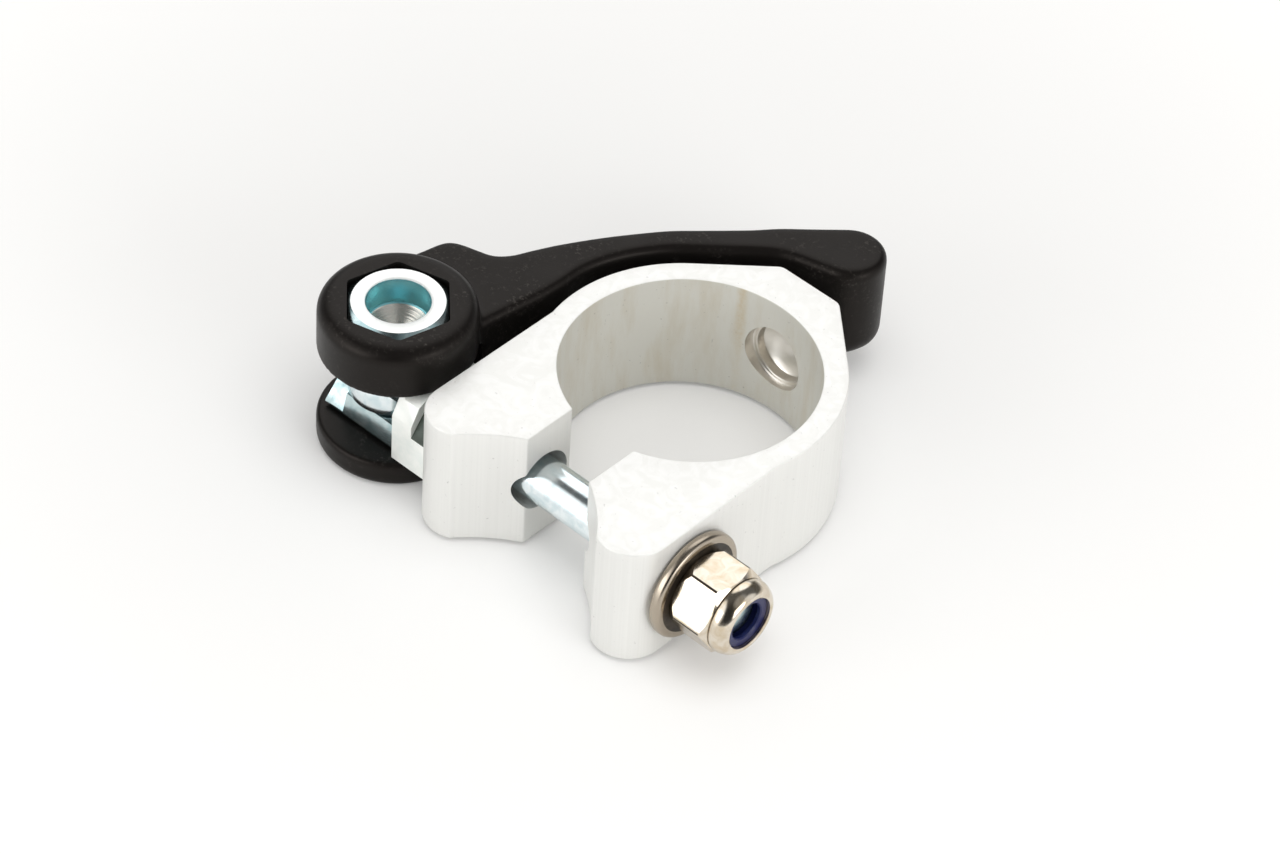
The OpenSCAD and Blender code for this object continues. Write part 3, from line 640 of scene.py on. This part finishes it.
bolt = threaded_shank()
eye = [(0, EYE_LOW), (EYE_R - 0.5, EYE_LOW), (EYE_R - 0.12, EYE_LOW + 0.12), (EYE_R, EYE_LOW + 0.4)]
eye += [(EYE_R - 1.5 + 1.5 * c, EYE_LOW + 0.4 + (EYE_HIGH - EYE_LOW - 0.4) * s) for c, s in quarter[1:]] + [(0, EYE_HIGH)]
neck = turned("neck", [(0, EYE_X + 1), (2.0, EYE_X + 1), (2.0, SHANK_START + 0.5), (0, SHANK_START + 0.5)], along_x(0.0))
cut(bolt, neck, "UNION")
cut(bolt, turned("eye", eye, upright(EYE_X, BOLT_Y)), "UNION")
cut(bolt, turned("eye_bore", [(0, 0), (4.0, 0), (4.0, 16), (0, 16)], upright(EYE_X, BOLT_Y)))
finish(bolt, ZINC, "bolt", "eye_bolt", angle=40, materials=(BLUE_ZINC,))
for poly in bolt.data.polygons:
    if poly.center.x / MM > 25.6:
        poly.material_index = 1

# ---------------------------------------------------------------- yoke
YOKE_X, BLOCK_X, SLOT_X, PRONG_X, RELIEF_X = -18.45, -23.8, -22.8, -36.3, -20.6
SLOT_HALF = 2.15


def block_outline(rise_z, rise_y):
    """Half of the block's section mirrored: low edge, side, steep facet, flat facet, top."""
    half = [(6.3, -5.3), (6.5, -5.1), (6.5, rise_z), (6.5 - rise_y, 4.2), (4.3 - rise_y, 5.3)]
    return half + [(-y, z) for y, z in half[::-1]]


def prong_outline(up, cut_y, cut_z):
    """A prong leans back towards its slot; up is 1 or -1."""
    half = [(5.25, -5.2), (5.4, -5.05), (5.4, -4.75), (4.75 - cut_y * 0.6, -SLOT_HALF - cut_z), (4.5 - cut_y, -SLOT_HALF)]
    return [(y, -up * z) for y, z in half + [(-y, z) for y, z in half[::-1]]]


yoke = prism("cam_yoke_skin", block_outline(1.8, 1.3), BLOCK_X, RELIEF_X)
cut(yoke, prism("relief", block_outline(0.2, 3.0), RELIEF_X - 0.1, YOKE_X), "UNION")
for up in (-1, 1):
    cut(yoke, prism("prong", prong_outline(up, 0, 0), PRONG_X + 3.0, SLOT_X - 0.05), "UNION")
    cut(yoke, prism("prong_end", prong_outline(up, 1.4, 1.0), PRONG_X, PRONG_X + 3.1), "UNION")
for half, end in ((7.0, BLOCK_X), (5.2, SLOT_X)):
    cut(yoke, prism("slot", [(-half, -SLOT_HALF), (half, -SLOT_HALF), (half, SLOT_HALF), (-half, SLOT_HALF)], PRONG_X - 1, end))
cut(yoke, turned("shank_hole", [(0, SLOT_X - 1), (3.0, SLOT_X - 1), (3.0, YOKE_X + 1), (0, YOKE_X + 1)], along_x(0.0)))
cut(yoke, turned("journal_hole", [(0, BOLT_Z), (4.05, BOLT_Z), (4.05, 20), (0, 20)], upright(LEVER_X, BOLT_Y)))
cut(yoke, turned("end_hole", [(0, 0), (2.35, 0), (2.35, BOLT_Z), (0, BOLT_Z)], upright(LEVER_X, BOLT_Y)))
bevel(yoke, 0.14)
finish(yoke, BLUE_ZINC, "yoke", "cam_yoke", angle=35, materials=(MATT_REFLECTION_ZINC, PAINTED_SHADE_ZINC))
# The block and relief take the pale matt copy, a painted reflection; the relief's up-and-front facets take the painted
# shade and dark reflection
for poly in yoke.data.polygons:
    c = poly.center / MM
    if c.x > BLOCK_X - 0.1:
        poly.material_index = 2 if c.x > RELIEF_X - 0.12 and poly.normal.y < -0.5 and poly.normal.z > 0.2 else 1

# ---------------------------------------------------------------- stage, light, camera
FLOOR_Z = DISC_LOW
TENT_LIGHT, TENT_DARK, FLOOR_GLOW = 0.6, 0.12, 0.12
# Direction, cosine where it fades out, cosine where it is full, brightness: what bright metal mirrors
TENT_WINDOWS = [((-0.47, -0.75, 0.3), 0.70, 0.86, 1.4), ((-0.47, 0.55, 0.69), 0.86, 0.93, 1.6),
                ((0.75, 0.35, 0.35), 0.86, 0.95, 0.9), ((0.5, 0.05, 0.8), 0.86, 0.98, 0.35)]


def stage_floor():
    """Plain white sweep; it glows a little for the camera and for what mirrors it, and takes the shadow."""
    floor = place("floor", [(-900, -900, FLOOR_Z), (900, -900, FLOOR_Z), (900, 900, FLOOR_Z), (-900, 900, FLOOR_Z)], [[0, 1, 2, 3]])
    mat = bpy.data.materials.new("white_sweep")
    mat.use_nodes = True
    tree = mat.node_tree
    tree.nodes.clear()
    out = add(tree, "ShaderNodeOutputMaterial")
    ground = add(tree, "ShaderNodeBsdfDiffuse", Color=(0.8, 0.8, 0.795, 1))
    # Full white further out, where the lamps fall off
    away = add(tree, "ShaderNodeVectorMath", {0: add(tree, "ShaderNodeTexCoord").outputs["Object"]}, operation="LENGTH")
    rise = add(tree, "ShaderNodeMapRange", {"Value": away.outputs["Value"]}, interpolation_type="SMOOTHSTEP",
               From_Min=45 * MM, From_Max=190 * MM, To_Min=FLOOR_GLOW, To_Max=FLOOR_GLOW + 0.2)
    glow = add(tree, "ShaderNodeEmission", {"Strength": rise.outputs["Result"]}, Color=(1, 1, 1, 1))
    path = add(tree, "ShaderNodeLightPath")
    lit = add(tree, "ShaderNodeMath", {0: path.outputs["Is Camera Ray"], 1: path.outputs["Is Glossy Ray"]}, operation="MAXIMUM")
    none = add(tree, "ShaderNodeEmission", Color=(1, 1, 1, 1), Strength=0.0)
    pick = add(tree, "ShaderNodeMixShader", {0: lit.outputs[0], 1: none.outputs[0], 2: glow.outputs[0]})
    total = add(tree, "ShaderNodeAddShader", {0: ground.outputs[0], 1: pick.outputs[0]})
    tree.links.new(total.outputs[0], out.inputs["Surface"])
    floor.data.materials.append(mat)


def light_tent():
    """Even soft room light, with a white horizon and white windows for what shines."""
    world = bpy.data.worlds.new("tent")
    world.use_nodes = True
    bpy.context.scene.world = world
    tree = world.node_tree
    tree.nodes.clear()
    out = add(tree, "ShaderNodeOutputWorld")
    path = add(tree, "ShaderNodeLightPath")
    seen = add(tree, "ShaderNodeBackground", Color=(1, 1, 1, 1), Strength=1.0)
    light = add(tree, "ShaderNodeBackground", Color=(1, 0.985, 0.96, 1), Strength=TENT_LIGHT)
    direction = add(tree, "ShaderNodeTexCoord").outputs["Generated"]
    split = add(tree, "ShaderNodeSeparateXYZ", {"Vector": direction})
    level = add(tree, "ShaderNodeMapRange", {"Value": split.outputs["Z"]}, From_Min=0.02, From_Max=0.2, To_Min=0.88, To_Max=TENT_DARK).outputs["Result"]
    behind = add(tree, "ShaderNodeVectorMath", {0: direction}, operation="DOT_PRODUCT")
    behind.inputs[1].default_value = Vector((0.75, -0.65, 0.1)).normalized()
    dim = add(tree, "ShaderNodeMapRange", {"Value": behind.outputs["Value"]}, From_Min=0.2, From_Max=0.7, To_Min=1.0, To_Max=0.2)
    level = add(tree, "ShaderNodeMath", {0: level, 1: dim.outputs["Result"]}, operation="MULTIPLY").outputs[0]
    for towards, edge, full, strength in TENT_WINDOWS:
        near = add(tree, "ShaderNodeVectorMath", {0: direction}, operation="DOT_PRODUCT")
        near.inputs[1].default_value = Vector(towards).normalized()
        window = add(tree, "ShaderNodeMapRange", {"Value": near.outputs["Value"]}, interpolation_type="SMOOTHSTEP", From_Min=edge, From_Max=full, To_Min=0.0, To_Max=strength)
        level = add(tree, "ShaderNodeMath", {0: level, 1: window.outputs["Result"]}, operation="MAXIMUM").outputs[0]
    gloss = add(tree, "ShaderNodeBackground", {"Strength": level}, Color=(1, 1, 1, 1))
    pick = add(tree, "ShaderNodeMixShader", {0: path.outputs["Is Glossy Ray"], 1: light.outputs[0], 2: gloss.outputs[0]})
    last = add(tree, "ShaderNodeMixShader", {0: path.outputs["Is Camera Ray"], 1: pick.outputs[0], 2: seen.outputs[0]})
    tree.links.new(last.outputs[0], out.inputs["Surface"])


def softbox(name, place_mm, target_mm, size_mm, watts, mirrored=True):
    data = bpy.data.lights.new(name, "AREA")
    data.shape, data.size, data.size_y, data.energy = "RECTANGLE", size_mm[0] * MM, size_mm[1] * MM, watts
    obj = bpy.data.objects.new(name, data)
    obj.location = Vector(place_mm) * MM
    obj.rotation_euler = (Vector(target_mm) - Vector(place_mm)).to_track_quat("-Z", "Y").to_euler()
    obj.visible_glossy = mirrored
    bpy.context.collection.objects.link(obj)


stage_floor()
light_tent()
softbox("overhead_softbox", (70, -30, 440), (0, 0, 5), (360, 360), 0.76, mirrored=False)
softbox("front_softbox", (-120, -430, 170), (0, 0, 8), (300, 240), 0.52)
softbox("side_softbox", (400, -40, 150), (0, 0, 8), (240, 200), 0.55)

scene = bpy.context.scene
scene.view_settings.view_transform = "Standard"
cam_data = bpy.data.cameras.new("camera")
cam_data.lens, cam_data.sensor_width = 134.228, 36.0
cam_data.clip_start, cam_data.clip_end = 0.01, 10.0
camera = bpy.data.objects.new("camera", cam_data)
right = Vector((0.7287, 0.683099, 0.048706))
up = Vector((-0.49705, 0.478624, 0.723782))
back = Vector((0.471103, -0.551629, 0.688307))
turn = Matrix((right, up, back)).transposed().to_4x4()
camera.matrix_world = Matrix.Translation(Vector((266.5509, -320.613, 402.5302)) * MM) @ turn
bpy.context.collection.objects.link(camera)
scene.camera = camera
